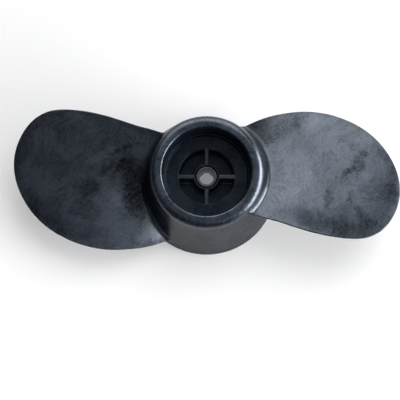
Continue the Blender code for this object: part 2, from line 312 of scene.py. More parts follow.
@dataclass(frozen=True)
class Sheet:
    """A material's node tree, with short ways to add and join its nodes."""

    tree: bpy.types.NodeTree

    def node(self, kind: str, **settings: object) -> bpy.types.Node:
        """Add a node.

        Args:
            kind: Blender's name for the node type.
            **settings: Properties to set on it.

        Returns:
            The new node.
        """
        made = self.tree.nodes.new(kind)
        for key, value in settings.items():
            setattr(made, key, value)
        return made

    def join(self, source: object, target: Socket) -> None:
        """Feed a socket from another socket, or set it to a constant.

        Args:
            source: An output socket or a constant value.
            target: The input socket.
        """
        if isinstance(source, Socket):
            self.tree.links.new(source, target)
        else:
            target.default_value = source

    def feed(self, made: bpy.types.Node, values: dict[str, object]) -> bpy.types.Node:
        """Feed a node's inputs.

        Args:
            made: The node.
            values: A socket or a constant for each named input.

        Returns:
            The same node.
        """
        for key, value in values.items():
            self.join(value, made.inputs[key])
        return made

    def maths(self, operation: str, first: object, second: object, third: object = 0.0) -> Socket:
        """Add a Math node and return its output.

        Args:
            operation: The operation's name.
            first: First value or socket.
            second: Second value or socket.
            third: Third value or socket, for the operations that take one.

        Returns:
            The result's socket.
        """
        made = self.node("ShaderNodeMath", operation=operation)
        for value, target in zip((first, second, third), made.inputs):
            self.join(value, target)
        return made.outputs[0]

    def vector(self, operation: str, first: object, second: object = None) -> Socket:
        """Add a Vector Math node and return its output.

        Args:
            operation: The operation's name.
            first: First vector or socket.
            second: Second vector or socket, or None.

        Returns:
            The result's socket.
        """
        made = self.node("ShaderNodeVectorMath", operation=operation)
        self.join(first, made.inputs[0])
        if operation == "SCALE":
            self.join(second, made.inputs[3])
        elif second is not None:
            self.join(second, made.inputs[1])
        return made.outputs["Value" if operation in ("LENGTH", "DOT_PRODUCT") else "Vector"]

    def noise(
        self, place: Socket, per_mm: float, detail: float = 2.0, rough: float = 0.5
    ) -> Socket:
        """Add a noise texture.

        Args:
            place: Coordinates in metres, or drawn-out ones with MM as per_mm.
            per_mm: Number of noise cells in a millimetre.
            detail: Octaves of finer noise.
            rough: How strong the finer octaves are.

        Returns:
            The noise value's socket, 0 to 1.
        """
        made = self.feed(self.node("ShaderNodeTexNoise"), {
            "Vector": place, "Scale": per_mm / MM, "Detail": detail, "Roughness": rough,
        })
        return made.outputs["Fac"]

    def shift(self, place: Socket, per_mm: float, reach: float) -> Socket:
        """Push coordinates about by a coloured noise, so that what is drawn on them sways.

        Args:
            place: Coordinates in metres.
            per_mm: Number of noise cells in a millimetre.
            reach: Widest push in millimetres, from one side to the other.

        Returns:
            The pushed coordinates' socket.
        """
        made = self.feed(self.node("ShaderNodeTexNoise"), {
            "Vector": place, "Scale": per_mm / MM, "Detail": 1.0,
        })
        swing = self.vector("SUBTRACT", made.outputs["Color"], (0.5, 0.5, 0.5))
        return self.vector("ADD", place, self.vector("SCALE", swing, reach * 2 * MM))

    def mapped(
        self, place: Socket, turn: float, scale: Sequence[float],
        origin: Sequence[float] = (0.0, 0.0, 0.0),
    ) -> Socket:
        """Turn coordinates about the shaft axis and give them new units.

        Args:
            place: Coordinates in metres.
            turn: Direction of the new X axis in degrees from +X.
            scale: Metres in a unit along the three new axes.
            origin: Where the new coordinates start, in metres.

        Returns:
            The new coordinates' socket.
        """
        made = self.feed(self.node("ShaderNodeMapping", vector_type="TEXTURE"), {
            "Vector": place, "Location": origin,
            "Rotation": (0.0, 0.0, math.radians(turn)), "Scale": scale,
        })
        return made.outputs["Vector"]

    def remap(
        self, value: Socket, low: float, high: float, to_low: float, to_high: float
    ) -> Socket:
        """Map a range of values smoothly to another range.

        Args:
            value: The value's socket.
            low: Value that becomes to_low.
            high: Value that becomes to_high.
            to_low: Result at and below low.
            to_high: Result at and above high.

        Returns:
            The result's socket.
        """
        made = self.feed(self.node("ShaderNodeMapRange", interpolation_type="SMOOTHSTEP"), {
            "Value": value, "From Min": low, "From Max": high, "To Min": to_low, "To Max": to_high,
        })
        return made.outputs["Result"]

    def mix(self, share: object, first: object, second: object) -> Socket:
        """Mix two colours.

        Args:
            share: How much of the second colour shows, 0 to 1.
            first: First colour or socket.
            second: Second colour or socket.

        Returns:
            The mixed colour's socket.
        """
        made = self.node("ShaderNodeMix", data_type="RGBA")
        self.join(share, made.inputs[0])
        self.join(first, made.inputs[6])
        self.join(second, made.inputs[7])
        return made.outputs[2]


@dataclass(frozen=True)
class FlowAndLightMark:
    """A soft stroke of tone, in millimetres and degrees from +X: most are flow marks that the
    flowing plastic left, and a few on the blades' roots are painted shade and a painted highlight.

    A change above zero makes the surface paler and glossier, one below zero darker.
    """

    x: float
    y: float
    length: float
    width: float
    turn: float
    change: float


@dataclass(frozen=True)
class FilledNylon:
    """Charcoal fibre-filled nylon as it leaves the mould, satin, cloudy and finely brushed.

    Heights, reaches and edges are in millimetres, and per_mm values count noise cells.
    """

    dark: Colour = (0.0018, 0.0026, 0.0052, 1.0)
    light: Colour = (0.0100, 0.0130, 0.0210, 1.0)
    gloss_tint: Colour = (0.74, 0.85, 1.0, 1.0)
    gloss_level: float = 0.94
    index: float = 1.38
    roughness: float = 0.31
    rough_swing: float = 0.10
    sway: float = 16.0
    sway_per_mm: float = 0.028
    cloud_share: float = 0.27
    cloud_per_mm: float = 0.08
    cloud_edge: tuple[float, float] = (0.42, 0.58)
    cloud_fray: float = 3.5
    fray_per_mm: float = 0.35
    stroke_share: float = 0.42
    grain_share: float = 0.72
    stroke_turn: float = 60.0
    stroke_per_mm: tuple[float, float, float] = (0.10, 0.75, 0.4)
    grain_per_mm: tuple[float, float, float] = (0.7, 1.7, 1.2)
    turned: bool = False
    strokes_around: float = 24.0
    stroke_drift_per_mm: float = 0.16
    skirted: bool = False
    skirt_top: float = 44.5
    skirt_fade: float = 2.0
    skirt_gloss: float = 0.26
    least_gloss: float = 0.05
    tone_reach: float = 0.6
    grain_height: float = 0.030
    pit_per_mm: float = 1.1
    wave_height: float = 0.20
    wave_per_mm: float = 0.09
    marks: tuple[FlowAndLightMark, ...] = ()
    mark_sway: float = 4.0
    mark_sway_per_mm: float = 0.05
    mark_fray: float = 3.0
    mark_edge: tuple[float, float] = (0.35, 1.2)

    def drawn_out(self, sheet: Sheet, place: Socket) -> Socket:
        """Return coordinates that draw noise out to strokes, straight or running off the shaft.

        Args:
            sheet: The material's node tree.
            place: Coordinates in metres.

        Returns:
            The drawn-out coordinates' socket.
        """
        if not self.turned:
            scale = [MM / units for units in self.stroke_per_mm]
            return sheet.mapped(place, self.stroke_turn, scale)
        flat = sheet.vector("MULTIPLY", place, (1.0, 1.0, 0.0))
        around = sheet.vector("SCALE", sheet.vector("NORMALIZE", flat), self.strokes_around)
        drift = sheet.vector("SCALE", place, self.stroke_drift_per_mm / MM)
        return sheet.vector("ADD", around, drift)

    def tone(self, sheet: Sheet) -> Socket:
        """Add up clouds, brush-like strokes, grain and marks, which are flow marks and, on the
        blades' roots, painted shade and a painted highlight.

        Args:
            sheet: The material's node tree.

        Returns:
            The tone's socket, about -0.5 for the darkest and 0.5 for the palest places.
        """
        place = sheet.node("ShaderNodeTexCoord").outputs["Object"]
        swayed = sheet.shift(place, self.sway_per_mm, self.sway)
        drifted = sheet.shift(place, self.mark_sway_per_mm, self.mark_sway)
        ragged = sheet.shift(drifted, self.fray_per_mm, self.mark_fray)
        frayed = sheet.shift(swayed, self.fray_per_mm, self.cloud_fray)
        clouds = sheet.noise(frayed, self.cloud_per_mm, detail=3.0, rough=0.55)
        clouds = sheet.remap(clouds, *self.cloud_edge, -0.5, 0.5)
        strokes = sheet.noise(self.drawn_out(sheet, swayed), MM, detail=3.0, rough=0.65)
        scale = [MM / units for units in self.grain_per_mm]
        fibres = sheet.mapped(swayed, self.stroke_turn, scale)
        grain = sheet.noise(fibres, MM, detail=2.0, rough=0.7)
        total = sheet.maths("MULTIPLY", clouds, self.cloud_share)
        for part, share in ((strokes, self.stroke_share), (grain, self.grain_share)):
            swing = sheet.maths("SUBTRACT", part, 0.5)
            total = sheet.maths("ADD", total, sheet.maths("MULTIPLY", swing, share * 2))
        # Marks: flow marks, and painted shade and a painted highlight on the blades' roots.
        for mark in self.marks:
            size, centre = (mark.length * MM, mark.width * MM, 1.0), (mark.x * MM, mark.y * MM, 0.0)
            reach = sheet.vector("LENGTH", sheet.mapped(ragged, mark.turn, size, centre))
            change = sheet.remap(reach, *self.mark_edge, mark.change, 0.0)
            total = sheet.maths("ADD", total, change)
        return total

    def lip_share(self, sheet: Sheet, place: Socket) -> Socket:
        """Return 1 on the handled lip of the hub and less on its skirt.

        Args:
            sheet: The material's node tree.
            place: Coordinates in metres.

        Returns:
            The share's socket.
        """
        apart = sheet.node("ShaderNodeSeparateXYZ")
        sheet.join(place, apart.inputs[0])
        low, high = self.skirt_top * MM, (self.skirt_top + self.skirt_fade) * MM
        return sheet.remap(apart.outputs["Z"], low, high, self.skirt_gloss, 1.0)

    def material(self, name: str) -> bpy.types.Material:
        """Build the finish as a node-based material.

        Args:
            name: Name of the material.

        Returns:
            The material.
        """
        made = bpy.data.materials.new(name)
        made.use_nodes = True
        sheet = Sheet(made.node_tree)
        place = sheet.node("ShaderNodeTexCoord").outputs["Object"]
        tone = self.tone(sheet)
        reach = self.tone_reach
        share = sheet.remap(tone, -reach, reach, 0.0, 1.0)
        middle, swing = self.roughness, self.rough_swing / 2
        rough = sheet.remap(tone, -reach, reach, middle - swing, middle + swing)
        gloss = sheet.maths("MULTIPLY_ADD", tone, self.gloss_level, self.gloss_level)
        gloss = sheet.maths("MAXIMUM", gloss, self.least_gloss)
        if self.skirted:
            gloss = sheet.maths("MULTIPLY", gloss, self.lip_share(sheet, place))
        pits = sheet.noise(place, self.pit_per_mm, detail=2.0, rough=0.6)
        swell = sheet.noise(place, self.wave_per_mm, detail=2.0, rough=0.5)
        grain = sheet.maths("MULTIPLY", pits, self.grain_height * MM)
        waves = sheet.maths("MULTIPLY", swell, self.wave_height * MM)
        bump = sheet.feed(sheet.node("ShaderNodeBump"), {
            "Distance": 1.0, "Strength": 1.0, "Height": sheet.maths("ADD", grain, waves),
        })
        sheet.feed(made.node_tree.nodes["Principled BSDF"], {
            "Base Color": sheet.mix(share, self.dark, self.light),
            "Roughness": rough,
            "Specular IOR Level": gloss,
            "IOR": self.index,
            "Specular Tint": self.gloss_tint,
            "Normal": bump.outputs["Normal"],
        })
        return made


@dataclass(frozen=True)
class TableTop:
    """Plain white table, a little luminous as an overexposed surface is."""

    colour: Colour = (0.80, 0.80, 0.80, 1.0)
    roughness: float = 0.7
    gloss_level: float = 0.2
    glow: float = 0.23

    def material(self, name: str) -> bpy.types.Material:
        """Build the finish as a node-based material.

        Args:
            name: Name of the material.

        Returns:
            The material.
        """
        made = bpy.data.materials.new(name)
        made.use_nodes = True
        Sheet(made.node_tree).feed(made.node_tree.nodes["Principled BSDF"], {
            "Base Color": self.colour,
            "Roughness": self.roughness,
            "Specular IOR Level": self.gloss_level,
            "Emission Strength": self.glow,
        })
        return made


RIGHT_FLOW_AND_LIGHT_MARKS = tuple(FlowAndLightMark(*row) for row in (
    # Painted shade: darkens the right blade's root near the hub, where its face turns towards the
    # dim surroundings.
    (48.0, 27.0, 15.0, 9.0, 20.0, -0.44),
    (66.0, 30.0, 8.0, 4.0, 60.0, 0.23),
    (88.0, 0.0, 14.0, 4.0, 45.0, -0.52),
    (69.0, -21.0, 7.0, 3.6, 82.0, -0.52),
    (81.0, -21.0, 5.0, 2.6, 80.0, -0.38),
    (74.0, -9.0, 10.0, 8.0, 60.0, -0.24),
    (90.0, -10.0, 13.0, 3.2, 48.0, 0.21),
    (56.0, -12.0, 16.0, 9.0, 20.0, 0.13),
    (103.0, -16.0, 15.0, 6.0, 65.0, -0.20),
))
LEFT_FLOW_AND_LIGHT_MARKS = tuple(FlowAndLightMark(*row) for row in (
    # Painted shade: the hub's shadow on the left blade's root.
    (-42.0, -2.0, 17.0, 10.5, 100.0, -0.92),
    (-57.0, 9.5, 9.0, 2.6, 21.0, -0.58),
    (-51.0, 8.0, 9.0, 2.0, 38.0, -0.52),
    (-47.0, 18.0, 11.0, 1.5, 18.0, -0.42),
    (-67.0, -1.0, 10.0, 5.0, 15.0, -0.36),
    (-60.0, 17.0, 11.0, 3.0, 25.0, 0.29),
    (-56.0, -5.0, 13.0, 4.5, 125.0, 0.36),
    # Painted highlight: the pale, glossy patch low on the left blade's root stands for a reflection
    # of the bright table and window.
    (-45.0, -25.0, 13.0, 6.5, 150.0, 0.16),
    (-105.0, 9.0, 10.0, 5.0, 80.0, 0.31),
    (-96.0, -18.0, 16.0, 5.0, 130.0, -0.31),
    (-80.0, 36.0, 18.0, 7.0, 170.0, -0.31),
))


# Hub


@dataclass(frozen=True)
class HubSizes:
    """Sizes of the hub in millimetres; the driving ones are read from the frame.

    The lap is how far one piece runs into the next.
    """

    base_radius: float
    top: float
    floor_top: float
    web_top: float
    web_bottom: float
    sleeve_seat: float
    lip_inner: float = 25.5
    cone_foot: float = 41.35
    band_top: float = 3.7
    cone_slope: float = 0.203
    lip_rounding: float = 4.5
    lip_edge: float = 1.2
    wall: float = 3.4
    cup_foot: float = 24.0
    step_height: float = 2.5
    step_width: float = 0.6
    pocket_radius: float = 16.15
    pocket_wall: float = 2.4
    boss_radius: float = 7.6
    boss_inner: float = 6.5
    boss_foot: float = 9.2
    boss_foot_height: float = 0.7
    floor_thickness: float = 3.0
    spoke_turn: float = math.radians(-5.2)
    slot_width: float = 3.4
    slot_depth: float = 3.2
    slot_length: float = 26.0
    spoke_width: float = 2.5
    spoke_flare: float = 0.15
    spoke_fillet: float = 0.65
    spoke_ledge: float = 0.85
    rib_width: float = 2.4
    rib_bottom: float = 8.0
    rib_rounding: float = 0.5
    lap: float = 0.4

    @classmethod
    def from_frame(cls) -> "HubSizes":
        """Read the driving sizes from the frame's nodes."""
        web_low, web_high = box_mm("pocket_floor")
        return cls(
            base_radius=box_mm("hub_end_band")[1].x,
            top=box_mm("hub_rim")[1].z,
            floor_top=box_mm("cup_floor")[1].z,
            web_top=web_high.z,
            web_bottom=web_low.z,
            sleeve_seat=box_mm("shaft_sleeve")[1].x + SEAT_GAP,
        )

    def outer_radius(self, height: np.ndarray) -> np.ndarray:
        """Return the radius of the hub's outside at given heights."""
        return self.cone_foot - self.cone_slope * (height - self.band_top)


@dataclass(frozen=True)
class Hub:
    """The hub of the moulding: cone, rounded lip, nut's cup, pockets, boss and web."""

    sizes: HubSizes
    workshop: Workshop

    def outside(self) -> list[Corner]:
        """Return the outline from the wide end up to the lip's inner edge."""
        s = self.sizes
        lip_corner = float(s.outer_radius(np.float64(s.top)))
        return [
            Corner(s.base_radius, 0.0, 0.7),
            Corner(s.cone_foot + 0.2, s.band_top - 0.15, 0.3),
            Corner(s.cone_foot, s.band_top, 0.12),
            Corner(lip_corner, s.top, s.lip_rounding),
            Corner(s.lip_inner, s.top, s.lip_edge),
        ]

    def cup(self) -> list[Corner]:
        """Return the outline down the cup's wall and over its floor to the pockets."""
        s = self.sizes
        step_top = s.floor_top + s.step_height
        return [
            Corner(s.cup_foot + s.step_width + 0.3, step_top, 0.25),
            Corner(s.cup_foot + 0.3, step_top - 0.1, 0.25),
            Corner(s.cup_foot, s.floor_top, 0.8),
            Corner(s.pocket_radius, s.floor_top, 0.45),
            Corner(s.pocket_radius - 0.2, s.web_top, 0.8),
        ]

    def boss(self) -> list[Corner]:
        """Return the outline over the boss and down the groove round the sleeve."""
        s = self.sizes
        foot_top = s.web_top + s.boss_foot_height
        return [
            Corner(s.boss_foot, s.web_top, 0.3),
            Corner(s.boss_foot, foot_top, 0.4),
            Corner(s.boss_radius, foot_top + 0.1, 1.2),
            Corner(s.boss_radius, s.floor_top, 0.25),
            Corner(s.boss_inner, s.floor_top, 0.2),
            Corner(s.boss_inner, s.web_top),
            Corner(s.sleeve_seat, s.web_top),
        ]

    def motor_side(self) -> list[Corner]:
        """Return the outline of the open hollow on the motor side."""
        s = self.sizes
        post = s.pocket_radius + s.pocket_wall
        under_floor = s.floor_top - s.floor_thickness
        cup_back = box_mm("cup_wall")[1].x
        ceiling = box_mm("cup_wall")[1].z - 0.4
        ceiling_outer = float(s.outer_radius(np.float64(ceiling))) - s.wall
        return [
            Corner(s.sleeve_seat, s.web_bottom),
            Corner(post, s.web_bottom, 0.5),
            Corner(post, under_floor, 0.6),
            Corner(cup_back, under_floor, 0.6),
            Corner(cup_back, ceiling),
            Corner(max(ceiling_outer, cup_back + 0.3), ceiling),
            Corner(s.cone_foot - s.wall, s.band_top),
            Corner(s.base_radius - s.wall, 0.0, 0.3),
        ]

    def slot_cutter(self) -> bmesh.types.BMesh:
        """Return the solid that cuts the drive pin's slot into the web."""
        s = self.sizes
        bm = bmesh.new()
        bmesh.ops.create_cube(bm, size=1.0)
        size = (s.slot_width * MM, s.slot_length * MM, 2 * s.slot_depth * MM)
        bmesh.ops.scale(bm, verts=bm.verts, vec=size)
        bmesh.ops.translate(bm, verts=bm.verts, vec=(0.0, 0.0, s.web_bottom * MM))
        turn_about_shaft(bm, s.spoke_turn)
        return bm

    def spoke(self) -> Bar:
        """Return a spoke: level with the cup's floor, with a filleted foot."""
        s = self.sizes
        half = s.spoke_width / 2
        top = s.floor_top - 0.02
        foot = s.web_top + 0.05
        flared, ledge = half + s.spoke_flare, half + s.spoke_ledge
        section = [
            Corner(-half, top, 0.45),
            Corner(half, top, 0.45),
            Corner(flared, foot, s.spoke_fillet),
            Corner(ledge, foot),
            Corner(ledge, foot - s.lap),
            Corner(-ledge, foot - s.lap),
            Corner(-ledge, foot),
            Corner(-flared, foot, s.spoke_fillet),
        ]
        return Bar(section, s.boss_inner + s.lap, s.pocket_radius + 0.9)

    def rib(self) -> bmesh.types.BMesh:
        """Return a stiffening rib of the motor side, lying along +X."""
        s = self.sizes
        inner = s.pocket_radius + s.pocket_wall - s.lap
        top = s.floor_top - s.floor_thickness + 0.3
        low = float(s.outer_radius(np.float64(s.rib_bottom))) - s.wall + 0.3
        high = float(s.outer_radius(np.float64(top))) - s.wall + 0.3
        outline = (
            (inner, s.web_bottom), (low - s.rib_width, s.rib_bottom), (low, s.rib_bottom),
            (high, top), (inner, top),
        )
        bm = bmesh.new()
        half = s.rib_width / 2
        bm.faces.new([bm.verts.new((x * MM, -half * MM, z * MM)) for x, z in outline])
        extrude(bm, (0.0, s.rib_width * MM, 0.0))
        bmesh.ops.recalc_face_normals(bm, faces=bm.faces)
        lower = [
            edge for edge in bm.edges
            if all(vert.co.z < (s.web_bottom + 0.1) * MM for vert in edge.verts)
            and abs(edge.verts[0].co.y - edge.verts[1].co.y) < 0.1 * MM
        ]
        bmesh.ops.bevel(
            bm, geom=lower, offset=s.rib_rounding * MM, offset_type="OFFSET", segments=4,
            profile=0.5, affect="EDGES", material=-1,
        )
        return bm

    def build(self, outside: bpy.types.Material, inside: bpy.types.Material) -> None:
        """Build the hub's pieces and fit them.

        Args:
            outside: Finish of the moulding.
            inside: Finish of the spokes and of the ribs.
        """
        outline = [*self.outside(), *self.cup(), *self.boss(), *self.motor_side()]
        body = self.workshop.piece("hub_moulding", Turning(outline, ROUND_STEPS).mesh())
        self.workshop.cut(body, self.slot_cutter())
        nodes = (
            "hub_cone", "hub_rim", "hub_end_band", "cup_wall", "cup_step", "cup_floor",
            "pocket_wall", "pocket_floor", "shaft_boss",
        )
        self.workshop.fit(body, outside, Slot.OUTSIDE, nodes)
        bar = self.spoke()
        start = self.sizes.spoke_turn
        for index in range(SPOKES):
            bm = bar.mesh(start + index * math.tau / SPOKES)
            made = self.workshop.piece(f"moulded_spoke_{index + 1}", bm)
            self.workshop.fit(made, inside, Slot.INSIDE, [f"spoke_{index + 1}"])
        for index in range(RIBS):
            bm = self.rib()
            turn_about_shaft(bm, start + (index + 0.5) * math.tau / RIBS)
            made = self.workshop.piece(f"moulded_rib_{index + 1}", bm)
            self.workshop.fit(made, inside, Slot.INSIDE, [f"stiffening_rib_{index + 1}"])


@dataclass(frozen=True)
class Sleeve:
    """The sleeve that lines the bore, notched by the drive pin's slot."""

    hub: Hub
    workshop: Workshop
    bore_radius: float = 4.4

    def build(self, material: bpy.types.Material) -> None:
        """Build the sleeve and fit it.

        Args:
            material: Its finish.
        """
        low, high = box_mm("shaft_sleeve")
        outline = [
            Corner(self.bore_radius, low.z, 0.15),
            Corner(high.x, low.z, 0.15),
            Corner(high.x, high.z, 0.3),
            Corner(self.bore_radius, high.z, 0.45),
        ]
        made = self.workshop.piece("bore_sleeve", Turning(outline, SMALL_ROUND_STEPS).mesh())
        self.workshop.cut(made, self.hub.slot_cutter())
        self.workshop.fit(made, material, Slot.SLEEVE, ["shaft_sleeve"])


# Blades


@dataclass(frozen=True)
class BladeForm:
    """Shape of a blade in millimetres: a left-hand screw surface with rounded edges."""

    hub: HubSizes
    pitch: float = 125.7
    rake_top: float = 31.87
    rake_radius: float = 91.0
    rake_drop: float = 7.18
    rake_span: float = 57.5
    lean_drop: float = 1.455
    lean_radius: float = 80.0
    lean_span: float = 45.0
    tip_radius: float = 112.31
    tip_angle: float = -10.19
    root_radius: float = 36.6
    root_spread: float = 30.0
    fillet: float = 2.6
    root_thickness: float = 6.4
    tip_thickness: float = 2.6
    root_edge: float = 0.9
    tip_edge: float = 0.9
    root_band: float = 24.0
    tip_band: float = 9.0
    seat: float = -0.06
    plan: tuple[tuple[float, float, float], ...] = (
        (30.0, -50.56, 63.26),
        (42.0, -43.76, 50.92),
        (50.0, -39.93, 44.03),
        (60.0, -37.02, 37.24),
        (70.0, -34.70, 31.04),
        (80.0, -32.41, 24.58),
        (90.0, -29.95, 17.59),
        (98.0, -27.40, 11.43),
        (104.0, -24.09, 5.68),
        (108.0, -20.46, 0.77),
        (111.0, -15.71, -4.33),
    )

    def closeness(self, radius: np.ndarray) -> np.ndarray:
        """Return 0 at the tip, growing inwards so that the round tip plots smoothly."""
        return np.sqrt(np.maximum(0.0, 1.0 - radius / self.tip_radius))

    def edge_angle(self, radius: np.ndarray, edge: Edge) -> np.ndarray:
        """Interpolate the angle of an edge smoothly through the plan's rows.

        Args:
            radius: Distances from the axis.
            edge: Which edge.

        Returns:
            The angles in radians.
        """
        column = edge.value
        knots = [float(self.closeness(np.float64(row[0]))) for row in self.plan]
        angles = [row[column] for row in self.plan]
        knots += [0.0, -knots[-1]]
        other = Edge.LEADING if edge is Edge.TRAILING else Edge.TRAILING
        angles += [self.tip_angle, self.plan[-1][other.value]]
        place, value = np.array(knots), np.array(angles)
        slopes = np.gradient(value, place)
        slopes[1:-1] = (value[2:] - value[:-2]) / (place[2:] - place[:-2])
        here = self.closeness(radius)
        index = np.clip(np.searchsorted(-place, -here, side="right") - 1, 0, len(place) - 3)
        span = place[index + 1] - place[index]
        t = (here - place[index]) / span
        result = (
            (2 * t**3 - 3 * t**2 + 1) * value[index]
            + (t**3 - 2 * t**2 + t) * slopes[index] * span
            + (3 * t**2 - 2 * t**3) * value[index + 1]
            + (t**3 - t**2) * slopes[index + 1] * span
        )
        return np.radians(result)

    def height(self, radius: np.ndarray, angle: np.ndarray) -> np.ndarray:
        """Return the height of the middle surface."""
        drop = self.rake_drop * ((radius - self.rake_radius) / self.rake_span) ** 2
        lean = self.lean_drop * (radius - self.lean_radius) / self.lean_span
        return self.rake_top - drop - lean - self.pitch * angle / math.tau

    def spread(self, offset: np.ndarray) -> np.ndarray:
        """Return 0 at the hub and 1 where the sections are plain arcs round the axis."""
        share = np.clip(offset / self.root_spread, 0.0, 1.0)
        return share * share * (3 - 2 * share)

    def settled_radius(self, offset: np.ndarray, angle: np.ndarray) -> np.ndarray:
        """Return the radius of a middle-surface point at an offset from the hub.

        Args:
            offset: Distance from the hub's outside.
            angle: Angle about the axis in radians.

        Returns:
            The radii, which follow the cone near the hub.
        """
        arc = self.root_radius + offset
        radius = arc + 0.0 * angle
        for _ in range(SETTLE_ROUNDS):
            near = self.hub.outer_radius(self.height(radius, angle)) + offset
            radius = near + (arc - near) * self.spread(offset)
        return radius

    def growth(self, offset: np.ndarray) -> np.ndarray:
        """Return how far the root fillet stands out at an offset from the hub."""
        gap = np.clip(self.fillet - offset, 0.0, self.fillet)
        return self.fillet - np.sqrt(self.fillet**2 - gap**2)

    def plan_point(self, offset: np.ndarray, share: np.ndarray) -> tuple[np.ndarray, np.ndarray]:
        """Return the radius and angle of a point of the blade seen along the shaft.

        Args:
            offset: Distance from the hub's outside.
            share: Place along the chord, 0 at the leading and 1 at the trailing edge.

        Returns:
            The radii and the angles in radians.
        """
        angles = {}
        for edge in Edge:
            radius = self.root_radius + offset
            for _ in range(SETTLE_ROUNDS):
                angle = self.edge_angle(radius, edge)
                radius = self.settled_radius(offset, angle)
            sign = -1.0 if edge is Edge.LEADING else 1.0
            angles[edge] = angle + sign * self.growth(offset) / radius
        angle = angles[Edge.LEADING] + (angles[Edge.TRAILING] - angles[Edge.LEADING]) * share
        return self.settled_radius(offset, angle), angle

    def outline(self, samples: int = 1200) -> np.ndarray:
        """Return points along the blade's outline from root to root round the tip."""
        start = float(self.closeness(np.float64(self.root_radius)))
        closeness = np.linspace(start, 0.0, samples)
        offset = self.tip_radius * (1 - closeness**2) - self.root_radius
        lead_radius, lead = self.plan_point(offset, np.zeros_like(offset))
        trail_radius, trail = self.plan_point(offset, np.ones_like(offset))
        radius = np.concatenate([lead_radius, trail_radius[::-1]])
        angle = np.concatenate([lead, trail[::-1]])
        return np.stack([radius * np.cos(angle), radius * np.sin(angle)], axis=1)

    def half_thickness(self, offset: np.ndarray, share: np.ndarray, rim: np.ndarray) -> np.ndarray:
        """Return half of the thickness: a round edge, a band that rolls off, a fuller middle.

        Args:
            offset: Distance from the hub's outside.
            share: Place along the chord, 0 to 1.
            rim: Distance to the blade's outline.

        Returns:
            Half of the thickness.
        """
        out = np.clip(offset / (self.tip_radius - self.root_radius), 0.0, 1.0)
        growth = self.growth(offset)
        edge = (self.root_edge + (self.tip_edge - self.root_edge) * out) / 2 + growth
        middle = self.root_thickness + (self.tip_thickness - self.root_thickness) * out
        middle = middle / 2 + growth
        reach = np.minimum(rim / edge, 1.0)
        rounding = np.sqrt(1 - (1 - reach) ** 2)
        width = self.root_band + (self.tip_band - self.root_band) * np.sqrt(out)
        band = 1 - (1 - np.minimum(rim / width, 1.0)) ** 2
        fullness = band * (1 - np.abs(2 * share - 1) ** 4)
        return edge * rounding + (middle - edge) * fullness

    def normal(self, radius: np.ndarray, angle: np.ndarray) -> np.ndarray:
        """Return the upward unit normals of the middle surface."""
        out = -2 * self.rake_drop * (radius - self.rake_radius) / self.rake_span**2
        out = out - self.lean_drop / self.lean_span
        around = -self.pitch / math.tau / radius
        x = -out * np.cos(angle) + around * np.sin(angle)
        y = -out * np.sin(angle) - around * np.cos(angle)
        normal = np.stack([x, y, np.ones_like(x)], axis=1)
        return normal / np.linalg.norm(normal, axis=1, keepdims=True)


